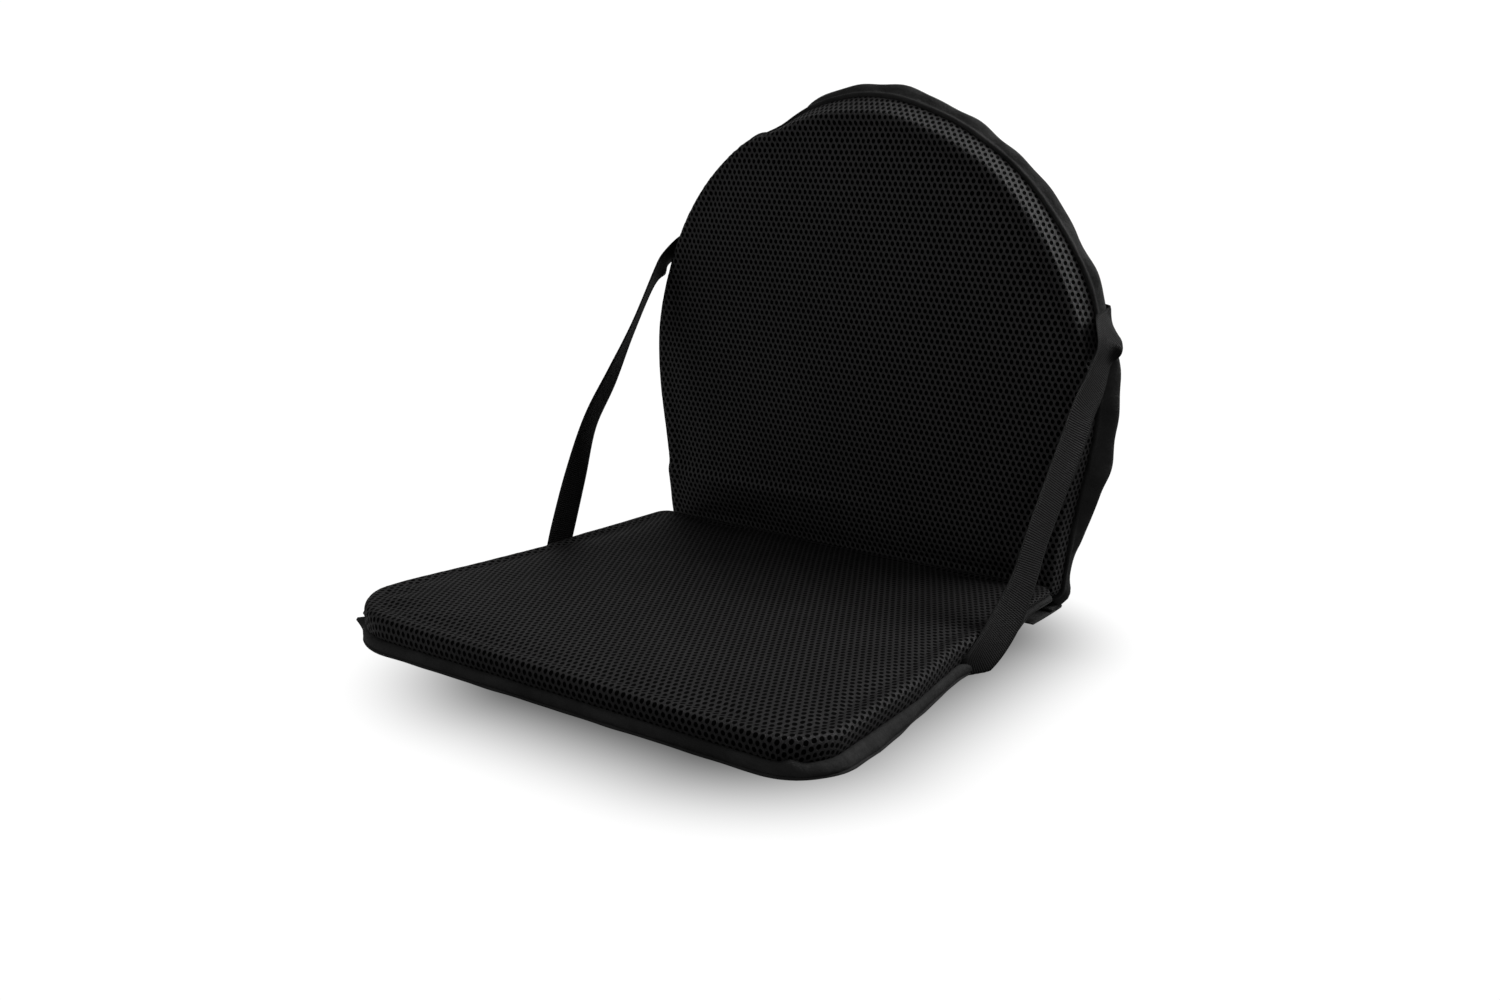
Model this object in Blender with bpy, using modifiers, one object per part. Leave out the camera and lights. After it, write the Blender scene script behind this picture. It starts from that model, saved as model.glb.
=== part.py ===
"""Folding seat with backrest: two padded panels, a fabric hinge and two webbing straps.

Metres, +Z up, -Y is the front of the seat, +X is the sitter's left.  The origin is under
the middle of the object, at floor level.
"""
import math

import bmesh
import bpy
from mathutils import Vector

# Seat pad, from the rear end (at the backrest) forward
SEAT_DEPTH = 0.354
SEAT_FRONT_HALF = 0.1985
SEAT_REAR_HALF = 0.1825
SEAT_FRONT_RADIUS = 0.052
SEAT_REAR_RADIUS = 0.012
SEAT_THICK = 0.026

# Backrest pad: an arch on slightly converging sides
BACK_RADIUS = 0.190
BACK_CENTRE_ABOVE_SEAT = 0.157
BACK_BOTTOM_HALF = 0.178
BACK_BOTTOM_RADIUS = 0.014
BACK_THICK = 0.0275
BACK_BOTTOM_LIFT = 0.0045

# Layers
GAP = 0.0003
SKIN = 0.0020
PLAIN = 0.0012
BOARD = 0.0025
SEAT_WALL_SLOPE = 0.0045
BACK_WALL_SLOPE = 0.007
PAD_ROUND = 0.008
WALL_STRAIGHT = 0.0015
BAND_TALL = 0.0075
BINDING_OUT = 0.0035
BINDING_THICK = 0.0026
RIM_OUT = 0.0070

# Hinge line: above the seat top and in front of the backrest face
HINGE_RISE = 0.003
BACK_BEHIND_HINGE = 0.003
SEAT_BEFORE_HINGE = 0.001
HINGE_STRIP_THICK = 0.0008
HINGE_STRIP_HALF = 0.170

# Side straps
STRAP_WIDE = 0.025
STRAP_THICK = 0.0015
STRAP_SEAT_BACK_OFF = 0.135
STRAP_RIM_ABOVE_SEAT = 0.205
STRAP_TAIL = 0.050

ARC_STEPS = 9
ARCH_STEPS = 40

BACK_DEPTH = BACK_BEHIND_HINGE + BACK_THICK + GAP + STRAP_THICK
HINGE_Y = (SEAT_DEPTH + SEAT_BEFORE_HINGE + BINDING_OUT - BACK_DEPTH) / 2
HINGE_Z = SEAT_THICK + HINGE_RISE


def material(name, color, rough):
    mat = bpy.data.materials.new(name)
    mat.use_nodes = True
    shader = mat.node_tree.nodes["Principled BSDF"]
    shader.inputs["Base Color"].default_value = (*color, 1.0)
    shader.inputs["Roughness"].default_value = rough
    mat.diffuse_color = (*color, 1.0)
    return mat


def offset_corners(corners, inset):
    """The convex polygon with every side moved in by inset."""
    moved = []
    for i, corner in enumerate(corners):
        before = (corner - corners[i - 1]).normalized()
        after = (corners[(i + 1) % len(corners)] - corner).normalized()
        bisector = (after - before).normalized()
        half = math.acos(max(-1.0, min(1.0, -before.dot(after)))) / 2
        moved.append(corner + bisector * (inset / math.sin(half)))
    return moved


def corner_arc(before, corner, after, radius):
    """Points of the arc that replaces a corner."""
    to_before = (before - corner).normalized()
    to_after = (after - corner).normalized()
    half = to_before.angle(to_after) / 2
    centre = corner + (to_before + to_after).normalized() * (radius / math.sin(half))
    reach = radius / math.tan(half)
    start = (corner + to_before * reach - centre).normalized()
    end = (corner + to_after * reach - centre).normalized()
    return [centre + start.slerp(end, k / ARC_STEPS) * radius for k in range(ARC_STEPS + 1)]


def seat_outline(inset):
    """Rounded trapezoid in (x, y), the rear side on y = -SEAT_BEFORE_HINGE at inset 0."""
    rear = -SEAT_BEFORE_HINGE
    front = rear - SEAT_DEPTH
    corners = [Vector((-SEAT_FRONT_HALF, front)), Vector((SEAT_FRONT_HALF, front)),
               Vector((SEAT_REAR_HALF, rear)), Vector((-SEAT_REAR_HALF, rear))]
    radii = [SEAT_FRONT_RADIUS, SEAT_FRONT_RADIUS, SEAT_REAR_RADIUS, SEAT_REAR_RADIUS]
    radii = [max(0.004, r - inset) for r in radii]
    moved = offset_corners(corners, inset)
    points = []
    for i, corner in enumerate(moved):
        points += corner_arc(moved[i - 1], corner, moved[(i + 1) % 4], radii[i])
    return points


def back_outline(inset):
    """Arch on converging sides in (x, s), s measured up from the hinge line."""
    radius = BACK_RADIUS - inset
    centre = BACK_CENTRE_ABOVE_SEAT - HINGE_RISE
    bottom = BACK_BOTTOM_LIFT + RIM_OUT - HINGE_Z
    foot = Vector((BACK_BOTTOM_HALF, bottom - centre))
    turn = math.atan2(foot.y, foot.x) + math.acos(min(1.0, BACK_RADIUS / foot.length))
    side = Vector((-math.sin(turn), math.cos(turn)))
    normal = Vector((math.cos(turn), math.sin(turn)))
    low = bottom + inset - centre
    along = (low - normal.y * radius) / side.y
    corner = normal * radius + side * along
    round_off = max(0.004, BACK_BOTTOM_RADIUS - inset)
    right = corner_arc(Vector((0.0, low)), corner, normal * radius, round_off)
    arch = [Vector((radius * math.cos(a), radius * math.sin(a)))
            for a in (turn + (math.pi - 2 * turn) * k / ARCH_STEPS
                      for k in range(ARCH_STEPS + 1))]
    left = [Vector((-p.x, p.y)) for p in reversed(right)]
    return [Vector((p.x, p.y + centre)) for p in right + arch + left]


def seat_ring(inset, height):
    return [Vector((p.x, p.y, height)) for p in seat_outline(inset)]


def back_ring(inset, behind):
    """A ring of the backrest, behind its front face, about the hinge line."""
    return [Vector((p.x, BACK_BEHIND_HINGE + behind, p.y)) for p in back_outline(inset)]


def link(collection, name, mesh, mat, location):
    mesh.materials.append(mat)
    item = bpy.data.objects.new(name, mesh)
    item.location = location
    collection.objects.link(item)
    return item


def loft(name, rings, cap_first, cap_last, closed_section=False):
    """Quads between rings of equal count, with flat caps where asked."""
    bm = bmesh.new()
    made = [[bm.verts.new(p) for p in ring] for ring in rings]
    pairs = list(zip(made, made[1:]))
    if closed_section:
        pairs.append((made[-1], made[0]))
    for low, high in pairs:
        for i in range(len(low)):
            j = (i + 1) % len(low)
            bm.faces.new((low[i], low[j], high[j], high[i]))
    if cap_first:
        bm.faces.new(list(reversed(made[0])))
    if cap_last:
        bm.faces.new(made[-1])
    bmesh.ops.recalc_face_normals(bm, faces=bm.faces)
    if cap_first and not cap_last:
        bm.faces.ensure_lookup_table()
        cap = max(bm.faces, key=lambda face: len(face.verts))
        inside_out = cap.normal.dot(rings[0][0] - rings[-1][0]) < 0
    else:
        inside_out = bm.calc_volume(signed=True) < 0
    if inside_out:
        bmesh.ops.reverse_faces(bm, faces=bm.faces)
    mesh = bpy.data.meshes.new(name)
    bm.to_mesh(mesh)
    bm.free()
    return mesh


def shoulder(ring, face, edge, slope, inset, radius, steps):
    """Rings over a rounded shoulder, down a sloping wall and straight at the edge."""
    step = 1 if edge > face else -1
    rings = []
    for k in range(steps + 1):
        a = math.pi / 2 * k / steps
        rings.append(ring(inset + slope + radius * (1 - math.sin(a)),
                          face + step * radius * (1 - math.cos(a))))
    rings.append(ring(inset, edge - step * WALL_STRAIGHT))
    rings.append(ring(inset, edge))
    return rings


def core(name, ring, cover_face, edge, flat, slope):
    """Foam inside the cover, its shoulder concentric, then straight to the flat side."""
    step = 1 if edge > cover_face else -1
    run = abs(edge - cover_face) - PAD_ROUND - WALL_STRAIGHT
    inset = (SKIN + 2 * GAP) * math.hypot(slope, run) / run
    rings = shoulder(ring, cover_face + step * (SKIN + GAP), edge, slope, inset,
                     PAD_ROUND - SKIN, 3)
    return loft(name, rings + [ring(inset, flat)], True, True)


def plate(name, ring, first, last, inset):
    return loft(name, [ring(inset, first), ring(inset, last)], True, True)


def band(name, ring, first, last, inset_out, inset_in):
    """A closed loop of rectangular section."""
    return loft(name, [ring(inset_out, first), ring(inset_out, last),
                       ring(inset_in, last), ring(inset_in, first)], False, False, True)


def cover(name, ring, face, edge, slope, inset):
    """Open skin: the face, its shoulder and the wall down to an open edge."""
    return loft(name, shoulder(ring, face, edge, slope, inset, PAD_ROUND, 4), True, False)


def solidify(item, thick, offset):
    mod = item.modifiers.new("thickness", "SOLIDIFY")
    mod.thickness = thick
    mod.offset = offset
    mod.use_even_offset = True


def ribbon(name, points, across, widths):
    """A strip of quads along points, spreading by across * width to both sides."""
    bm = bmesh.new()
    rows = []
    for p, direction, wide in zip(points, across, widths):
        half = direction.normalized() * (wide / 2)
        rows.append([bm.verts.new(p - half), bm.verts.new(p + half)])
    for a, b in zip(rows, rows[1:]):
        bm.faces.new((a[0], a[1], b[1], b[0]))
    mesh = bpy.data.meshes.new(name)
    bm.to_mesh(mesh)
    bm.free()
    return mesh


def smooth_path(knots, steps):
    """Catmull-Rom points through the knots."""
    padded = [knots[0] * 2 - knots[1], *knots, knots[-1] * 2 - knots[-2]]
    points = []
    for a, b, c, d in zip(padded, padded[1:], padded[2:], padded[3:]):
        for k in range(steps):
            t = k / steps
            points.append(0.5 * (2 * b + (c - a) * t + (2 * a - 5 * b + 4 * c - d) * t * t
                                 + (3 * b - a - 3 * c + d) * t ** 3))
    return points + [knots[-1]]


for item in list(bpy.data.objects):
    bpy.data.objects.remove(item, do_unlink=True)
pieces = bpy.data.collections.new("folding_seat")
bpy.context.scene.collection.children.link(pieces)

mesh_black = (0.016, 0.016, 0.017)
plain_black = (0.012, 0.012, 0.013)
SEAT_AT = (0.0, HINGE_Y, 0.0)
BACK_AT = (0.0, HINGE_Y, HINGE_Z)

# Seat, from the floor up: base cloth, binding, band, stiffener, foam, mesh cover
binding_top = GAP + BINDING_THICK
band_low = binding_top + GAP
band_high = band_low + BAND_TALL
seat_cover_edge = band_high + GAP
link(pieces, "seat_base_panel", plate("seat_base_panel", seat_ring, 0.0, PLAIN,
                                      PLAIN + 3 * GAP),
     material("seat_base_cloth", plain_black, 0.8), SEAT_AT)
link(pieces, "seat_edge_binding", band("seat_edge_binding", seat_ring, GAP, binding_top,
                                       -BINDING_OUT, PLAIN),
     material("seat_binding_tape", plain_black, 0.7), SEAT_AT)
link(pieces, "seat_side_band", band("seat_side_band", seat_ring, band_low, band_high,
                                    0.0, PLAIN),
     material("seat_band_cloth", plain_black, 0.8), SEAT_AT)
seat_board_top = PLAIN + GAP + BOARD
link(pieces, "seat_board", plate("seat_board", seat_ring, PLAIN + GAP, seat_board_top,
                                 PLAIN + 4 * GAP),
     material("seat_board_plastic", (0.05, 0.05, 0.05), 0.5), SEAT_AT)
link(pieces, "seat_foam", core("seat_foam", seat_ring, SEAT_THICK, seat_cover_edge,
                               seat_board_top + GAP, SEAT_WALL_SLOPE),
     material("seat_foam_grey", (0.25, 0.25, 0.26), 0.9), SEAT_AT)
seat_cover = link(pieces, "seat_mesh_cover",
                  cover("seat_mesh_cover", seat_ring, SEAT_THICK, seat_cover_edge,
                        SEAT_WALL_SLOPE, 0.0),
                  material("seat_air_mesh", mesh_black, 0.75), SEAT_AT)
solidify(seat_cover, SKIN, -1.0)

# Backrest, from its front face to its rear: mesh cover, foam, stiffener, band, rim, rear cloth
rear_inner = BACK_THICK - PLAIN
rim_last = rear_inner - GAP
rim_first = rim_last - BINDING_THICK
back_band_last = rim_first - GAP
back_band_first = back_band_last - BAND_TALL
back_cover_edge = back_band_first - GAP
back_board_last = rear_inner - GAP
back_board_first = back_board_last - BOARD
back_cover = link(pieces, "back_mesh_cover",
                  cover("back_mesh_cover", back_ring, 0.0, back_cover_edge,
                        BACK_WALL_SLOPE, 0.0),
                  material("back_air_mesh", mesh_black, 0.75), BACK_AT)
solidify(back_cover, SKIN, -1.0)
link(pieces, "back_foam", core("back_foam", back_ring, 0.0, back_cover_edge,
                               back_board_first - GAP, BACK_WALL_SLOPE),
     material("back_foam_grey", (0.25, 0.25, 0.26), 0.9), BACK_AT)
link(pieces, "back_board", plate("back_board", back_ring, back_board_first, back_board_last,
                                 PLAIN + 4 * GAP),
     material("back_board_plastic", (0.05, 0.05, 0.05), 0.5), BACK_AT)
link(pieces, "back_side_band", band("back_side_band", back_ring, back_band_first,
                                    back_band_last, 0.0, PLAIN),
     material("back_band_cloth", plain_black, 0.7), BACK_AT)
link(pieces, "back_rim_binding", band("back_rim_binding", back_ring, rim_first, rim_last,
                                      -RIM_OUT, PLAIN),
     material("back_rim_cloth", plain_black, 0.6), BACK_AT)
link(pieces, "back_rear_panel", plate("back_rear_panel", back_ring, rear_inner, BACK_THICK,
                                      0.0),
     material("back_rear_cloth", plain_black, 0.8), BACK_AT)

# Hinge cloth: flat under the backrest in three layers, the slack it needs to fold shut
layer = HINGE_STRIP_THICK + 2 * GAP
front_y = BINDING_OUT - SEAT_BEFORE_HINGE + 2 * GAP + HINGE_STRIP_THICK / 2
rear_y = BACK_BEHIND_HINGE + BACK_THICK - layer
fold_y = front_y + (rear_y - front_y) * 0.35
low_z = GAP + HINGE_STRIP_THICK / 2
profile = [(front_y, low_z), (rear_y, low_z), (rear_y + layer / 2, low_z + layer / 2),
           (rear_y, low_z + layer), (fold_y, low_z + layer),
           (fold_y - layer / 2, low_z + 1.5 * layer), (fold_y, low_z + 2 * layer),
           (rear_y, low_z + 2 * layer)]
hinge_points = [Vector((0.0, y, z)) for y, z in profile]
across = [Vector((1.0, 0.0, 0.0))] * len(hinge_points)
hinge = link(pieces, "hinge_strip", ribbon("hinge_strip", hinge_points, across,
                                           [2 * HINGE_STRIP_HALF] * len(hinge_points)),
             material("hinge_cloth", plain_black, 0.8), SEAT_AT)
solidify(hinge, HINGE_STRIP_THICK, 0.0)

# Side straps: from the side seam of the seat, over the rim, onto the rear of the backrest
seat_half = SEAT_REAR_HALF + ((SEAT_FRONT_HALF - SEAT_REAR_HALF)
                              * (STRAP_SEAT_BACK_OFF / SEAT_DEPTH))
seat_x = seat_half + BINDING_OUT + 2 * GAP + STRAP_THICK / 2
rim_s = STRAP_RIM_ABOVE_SEAT - HINGE_RISE
rim_radius = BACK_RADIUS + RIM_OUT
rim_drop = STRAP_RIM_ABOVE_SEAT - STRAP_WIDE * 0.6 - BACK_CENTRE_ABOVE_SEAT
rim_x = math.sqrt(rim_radius ** 2 - rim_drop ** 2) + 2 * GAP + STRAP_THICK
rear_face = BACK_BEHIND_HINGE + BACK_THICK + GAP + STRAP_THICK / 2
knots = [Vector((seat_x, -STRAP_SEAT_BACK_OFF, 0.003 - HINGE_Z)),
         Vector((seat_x + 0.0010, -STRAP_SEAT_BACK_OFF + 0.016, 0.022 - HINGE_Z)),
         Vector((seat_x * 0.5 + rim_x * 0.5 + 0.003, -0.098, 0.085)),
         Vector((rim_x + 0.002, -0.040, rim_s - 0.030)),
         Vector((rim_x, rear_face - 0.012, rim_s + 0.010))]
corner = Vector((rim_x - 0.0015, rear_face - 0.0015, rim_s + 0.0145))
tail = [Vector((rim_x - 0.006, rear_face, rim_s + 0.018)),
        Vector((rim_x - 0.006 - STRAP_TAIL * 0.5, rear_face, rim_s + 0.030)),
        Vector((rim_x - 0.006 - STRAP_TAIL, rear_face, rim_s + 0.042))]
run = smooth_path(knots, 6)
path = run + [corner] + tail
level = Vector((SEAT_FRONT_HALF - SEAT_REAR_HALF, -SEAT_DEPTH, 0.0)).normalized()
spread = []
for i, p in enumerate(path):
    tangent = (path[min(i + 1, len(path) - 1)] - path[max(i - 1, 0)]).normalized()
    if i < len(run) - 1:
        upright = Vector((1.0, 0.0, 0.0)).cross(tangent)
        spread.append(level.lerp(upright, min(1.0, i / 5)))
    elif i <= len(run) + 1:
        spread.append(Vector((0.0, 0.0, 1.0)))
    else:
        spread.append(Vector((0.0, 1.0, 0.0)).cross(tangent))
for side, name in ((1.0, "strap_left"), (-1.0, "strap_right")):
    points = [Vector((p.x * side, p.y, p.z)) for p in path]
    across = [Vector((d.x * side, d.y, d.z)) for d in spread]
    strap = link(pieces, name, ribbon(name, points, across, [STRAP_WIDE] * len(points)),
                 material(name + "_webbing", (0.03, 0.03, 0.031), 0.6), BACK_AT)
    solidify(strap, STRAP_THICK, 0.0)
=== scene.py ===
"""Folding padded seat with backrest, in black air mesh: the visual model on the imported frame."""
import math

import bmesh
import bpy
import numpy as np
from mathutils import Matrix, Vector


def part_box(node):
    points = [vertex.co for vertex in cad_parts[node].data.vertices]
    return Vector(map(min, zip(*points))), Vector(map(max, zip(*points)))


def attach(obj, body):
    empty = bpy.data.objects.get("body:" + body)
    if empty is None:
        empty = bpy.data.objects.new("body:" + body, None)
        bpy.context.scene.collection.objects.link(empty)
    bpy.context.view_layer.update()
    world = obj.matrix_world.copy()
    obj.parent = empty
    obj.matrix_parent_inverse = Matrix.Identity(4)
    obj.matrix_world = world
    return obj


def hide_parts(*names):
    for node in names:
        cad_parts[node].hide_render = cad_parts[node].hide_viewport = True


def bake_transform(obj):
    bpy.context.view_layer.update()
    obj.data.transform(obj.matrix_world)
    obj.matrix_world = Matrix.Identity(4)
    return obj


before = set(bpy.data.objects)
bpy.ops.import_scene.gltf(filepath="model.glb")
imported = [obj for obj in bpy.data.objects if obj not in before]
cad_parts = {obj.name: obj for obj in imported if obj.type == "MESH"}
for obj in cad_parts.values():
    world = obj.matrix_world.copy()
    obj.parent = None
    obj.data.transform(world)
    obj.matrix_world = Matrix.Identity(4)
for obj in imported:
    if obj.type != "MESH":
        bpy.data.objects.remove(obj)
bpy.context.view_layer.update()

# ---------------------------------------------------------------- sizes, from the CAD frame
SEAT_LOW, SEAT_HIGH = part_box("seat_mesh_cover")
BACK_LOW, BACK_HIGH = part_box("back_mesh_cover")
SEAT_TOP = SEAT_HIGH[2]
SEAT_FRONT, SEAT_REAR = SEAT_LOW[1], SEAT_HIGH[1]
FACE_Y = BACK_LOW[1]                      # the backrest's front face
BACK_CZ = BACK_HIGH[2] - BACK_HIGH[0]     # height of the arch's centre

# ---------------------------------------------------------------- sizes of the visual model, in metres
SEAT_TAPER = 0.0135                       # each side's narrowing from front to rear
SEAT_CORNERS = (0.054, 0.033, 0.012, 0.012)   # front -X, front +X, rear +X, rear -X
FULL_SIDE = 0.15                          # the sides' shift has its whole effect past this x
BACK_FOOT_HALF, BACK_FOOT_ROUND = 0.1800, 0.009
SWELL_OUT, SWELL_ABOVE, SWELL_TALL = 0.0075, 0.115, 0.060   # the back's sides bulge above the seat
MESH_PITCH, MESH_ROW = 0.0047, 0.0044     # mesh holes: across, and from row to row
HOLE_WIDE, HOLE_TALL = 0.00155, 0.00185   # their radii
STRAP_WIDE, STRAP_THICK = 0.025, 0.0015
FLOOR_CLEAR = 0.0003                      # nothing comes lower than this
OUTLINE_POINTS = 900
STRAP_ROWS = 180                          # cross-sections of a strap
PLAIN_THREAD = 0.00055                    # the plain cloth's weave
WEB_RIB, WEB_CROSS, WEB_SELVEDGE = 0.0016, 0.0022, 0.0009   # the webbing's
N = 420                                   # points of every ring round a pad
PANEL_LEVELS = (1.0, 0.985, 0.96, 0.9, 0.8, 0.65, 0.5, 0.35, 0.2, 0.08)   # rings of the flat panels


# ---------------------------------------------------------------- small geometry helpers
def ease(x):
    """A smooth step over 0 to 1."""
    x = np.clip(x, 0, 1)
    return x * x * (3 - 2 * x)


def soften(values, rounds):
    """A closed row of values, averaged with its neighbours a number of times."""
    for _ in range(rounds):
        values = (np.roll(values, 1) + 2 * values + np.roll(values, -1)) / 4
    return values


def resample(points, count):
    """Equally spaced points round a closed outline, the outward normals there and the arc lengths."""
    points = np.asarray(points, float)
    closed = np.vstack([points, points[:1]])
    step = np.linalg.norm(np.diff(closed, axis=0), axis=1)
    at = np.concatenate([[0], np.cumsum(step)])
    s = np.linspace(0, at[-1], count, endpoint=False)
    p = np.stack([np.interp(s, at, closed[:, k]) for k in (0, 1)], 1)
    t = np.roll(p, -2, 0) - np.roll(p, 2, 0)
    t /= np.linalg.norm(t, axis=1)[:, None]
    return p, np.stack([t[:, 1], -t[:, 0]], 1), s


def arc(cx, cy, r, a0, a1, n):
    """Points on a circle from one angle to another."""
    t = np.linspace(a0, a1, n)
    return np.stack([cx + r * np.cos(t), cy + r * np.sin(t)], 1)


def fillet(a, b, c, r, n=12):
    """The arc of radius r that rounds corner b of the path a, b, c."""
    a, b, c = (np.asarray(v, float) for v in (a, b, c))
    u, v = (a - b) / np.linalg.norm(a - b), (c - b) / np.linalg.norm(c - b)
    half = math.acos(np.clip(u @ v, -1, 1)) / 2
    centre = b + (u + v) / np.linalg.norm(u + v) * (r / math.sin(half))
    s, e = b + u * r / math.tan(half) - centre, b + v * r / math.tan(half) - centre
    w = [s * (1 - k / n) + e * k / n for k in range(n + 1)]
    return np.array([centre + q / np.linalg.norm(q) * r for q in w])


# How far the seat's sides stand out of a straight line, in mm at distances behind the backrest's face
SIDE_OUT = [(-358, 0), (-340, 1), (-318, 4), (-290, 5), (-262, 3.5), (-232, 0.5), (-197, -2.5), (-160, -5.5),
            (-136, -3), (-106, -1), (-60, -1.5), (0, 0)]


def side_out(y):
    """The sides' shift in metres at depths y."""
    at = np.array(SIDE_OUT, float) * 0.001
    return np.interp(y - FACE_Y, at[:, 0], at[:, 1])


def side_share(x):
    """How much of the sides' shift a point takes: nothing in the middle, all at the side."""
    return np.clip(x / FULL_SIDE, 0, 1) ** 4


def seat_path():
    """The seat outline in (x, y): a trapezoid with large front corners."""
    front, rear = SEAT_HIGH[0], SEAT_HIGH[0] - SEAT_TAPER
    c = [(-front, SEAT_FRONT), (front, SEAT_FRONT), (rear, SEAT_REAR), (-rear, SEAT_REAR)]
    corners = [fillet(c[i - 1], c[i], c[(i + 1) % 4], SEAT_CORNERS[i]) for i in range(4)]
    path = resample(np.vstack(corners), OUTLINE_POINTS)[0]
    out = soften(side_out(path[:, 1]), 12)
    out = np.where(path[:, 0] > 0, np.minimum(out, 0), out)
    path[:, 0] += out * np.sign(path[:, 0]) * side_share(np.abs(path[:, 0]))
    return path


# How the back differs from a true arch, in mm at directions from the arch's centre (degrees, 0 = +X,
# 90 = up): the seam outwards, the lean of its padded wall, and how far the rim stands out of the seam
SEAM_OUT = [(-60, 0), (-20, 0), (0, 1), (10, 2.5), (16, 3), (22, 1), (29, -1.5), (37, -4), (50, -4.5),
            (60, -5), (70, -3), (76, -2.5), (84, 1), (93, 2.5), (103, 1.5), (111, 0), (115, -3.5),
            (119, -3), (124, 1), (131, 1), (140, 1.5), (163, 0.8), (173, 1.2), (183, 0.7), (190, -0.3),
            (200, -1), (216, -0.5), (221, 4), (227, 5), (234, 2), (245, 0)]
WALL_LEAN = [(-60, 2), (-20, 2.5), (0, 2), (6, 2.5), (12, 7), (16, 9), (35, 7.5), (55, 6.5), (68, 8.5),
             (78, 8.5), (93, 10.5), (103, 7.5), (111, 5.5), (118, 2), (124, -0.5), (150, -1), (180, -0.5),
             (200, 0), (220, 1), (235, 2)]
RIM_OUT = [(-56, 2), (-48, 8), (-46.5, 13), (-44.5, 8), (-41.5, 1), (-36.5, 2.5), (-31, 9), (-26, 12.5),
           (-20, 14), (0, 12.5), (6, 9.5), (11, 5.5), (17, 6.5), (24, 5), (29, 5), (37, 7), (50, 7),
           (60, 7.5), (67, 7.5), (76, 9), (87, 9.5), (93, 8.5), (100, 8.5), (109, 5), (114, -3), (118, -4),
           (122, 4), (128, 6.5), (136, 5), (145, 5), (155, 4), (168, 4), (188, 7), (212, 6.5), (224, 5),
           (232, 2)]


def round_arch(table, points):
    """A table's values in metres at outline points (x, z), softened between its entries."""
    at = np.array(table, float)
    angle = np.degrees(np.arctan2(points[:, 1] - BACK_CZ, points[:, 0])) % 360
    return soften(np.interp(angle, at[:, 0] % 360, at[:, 1] * 0.001, period=360), 3)


def back_path():
    """The backrest outline in (x, z): an arch on converging sides that swell above the seat."""
    radius, low = BACK_HIGH[0], BACK_LOW[2]
    foot = np.array([BACK_FOOT_HALF, low - BACK_CZ])
    turn = math.atan2(foot[1], foot[0]) + math.acos(radius / np.linalg.norm(foot))
    tangent = np.array([radius * math.cos(turn), BACK_CZ + radius * math.sin(turn)])
    foot_round = fillet((0, low), (BACK_FOOT_HALF, low), tangent, BACK_FOOT_ROUND)
    straight = np.linspace(foot_round[-1], tangent, 20)[1:-1]
    arch = arc(0, BACK_CZ, radius, turn, math.pi - turn, 90)
    right = np.vstack([foot_round, straight])
    path = np.vstack([right, arch, right[::-1] * [-1, 1]])
    swell = SWELL_OUT * np.exp(-((path[:, 1] - SEAT_TOP - SWELL_ABOVE) / SWELL_TALL) ** 2)
    path[:, 0] *= 1 + swell / radius
    radial = path - [0, BACK_CZ]
    return path + radial / np.linalg.norm(radial, axis=1)[:, None] * round_arch(SEAM_OUT, path)[:, None]


def wave(s, length, seed, amp, waves):
    """A smooth irregular periodic function of arc length."""
    r = np.random.default_rng(seed)
    out = np.zeros_like(s)
    for k in waves:
        out += r.uniform(0.5, 1.0) * np.sin(2 * np.pi * k * s / length + r.uniform(0, 6.28))
    return out * amp / max(1, len(waves)) ** 0.5


def bump_at(s, length, centre, width):
    """One smooth bump at an arc length on a closed outline."""
    d = np.abs((s - centre + length / 2) % length - length / 2)
    return np.exp(-(d / width) ** 2)


def mesh_object(name, verts, faces, smooth=True):
    """A new object in the scene."""
    mesh = bpy.data.meshes.new(name)
    mesh.from_pydata([tuple(v) for v in verts], [], [tuple(f) for f in faces])
    if smooth:
        mesh.polygons.foreach_set("use_smooth", [True] * len(mesh.polygons))
    mesh.update()
    obj = bpy.data.objects.new(name, mesh)
    bpy.context.scene.collection.objects.link(obj)
    return obj


def ring_faces(rows, count, closed=True):
    """Quads between rows of equal count; a closed row joins its last point to its first."""
    faces = []
    for i in range(rows - 1):
        for j in range(count if closed else count - 1):
            k = (j + 1) % count
            faces.append((i * count + j, i * count + k, (i + 1) * count + k, (i + 1) * count + j))
    return faces


def set_vector(obj, name, values):
    """A named vector on every point; two columns get a zero third one."""
    layer = obj.data.attributes.new(name, "FLOAT_VECTOR", "POINT")
    values = np.asarray(values, np.float32)
    if values.shape[1] == 2:
        values = np.hstack([values, np.zeros((len(values), 1), np.float32)])
    layer.data.foreach_set("vector", values.ravel())


def co(obj):
    """The object's points as an array."""
    out = np.empty(len(obj.data.vertices) * 3, np.float32)
    obj.data.vertices.foreach_get("co", out)
    return out.reshape(-1, 3).astype(float)


def set_co(obj, values):
    """Move the object's points."""
    obj.data.vertices.foreach_set("co", np.asarray(values, np.float32).ravel())
    obj.data.update()


def apply_modifiers(obj):
    """Keep what the modifiers make, smooth shaded."""
    graph = bpy.context.evaluated_depsgraph_get()
    new = bpy.data.meshes.new_from_object(obj.evaluated_get(graph))
    obj.modifiers.clear()
    old = obj.data
    obj.data = new
    bpy.data.meshes.remove(old)
    obj.data.polygons.foreach_set("use_smooth", [True] * len(obj.data.polygons))


def outward(obj):
    """Turn every face outwards."""
    bm = bmesh.new()
    bm.from_mesh(obj.data)
    bmesh.ops.recalc_face_normals(bm, faces=bm.faces)
    bm.to_mesh(obj.data)
    bm.free()


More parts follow.
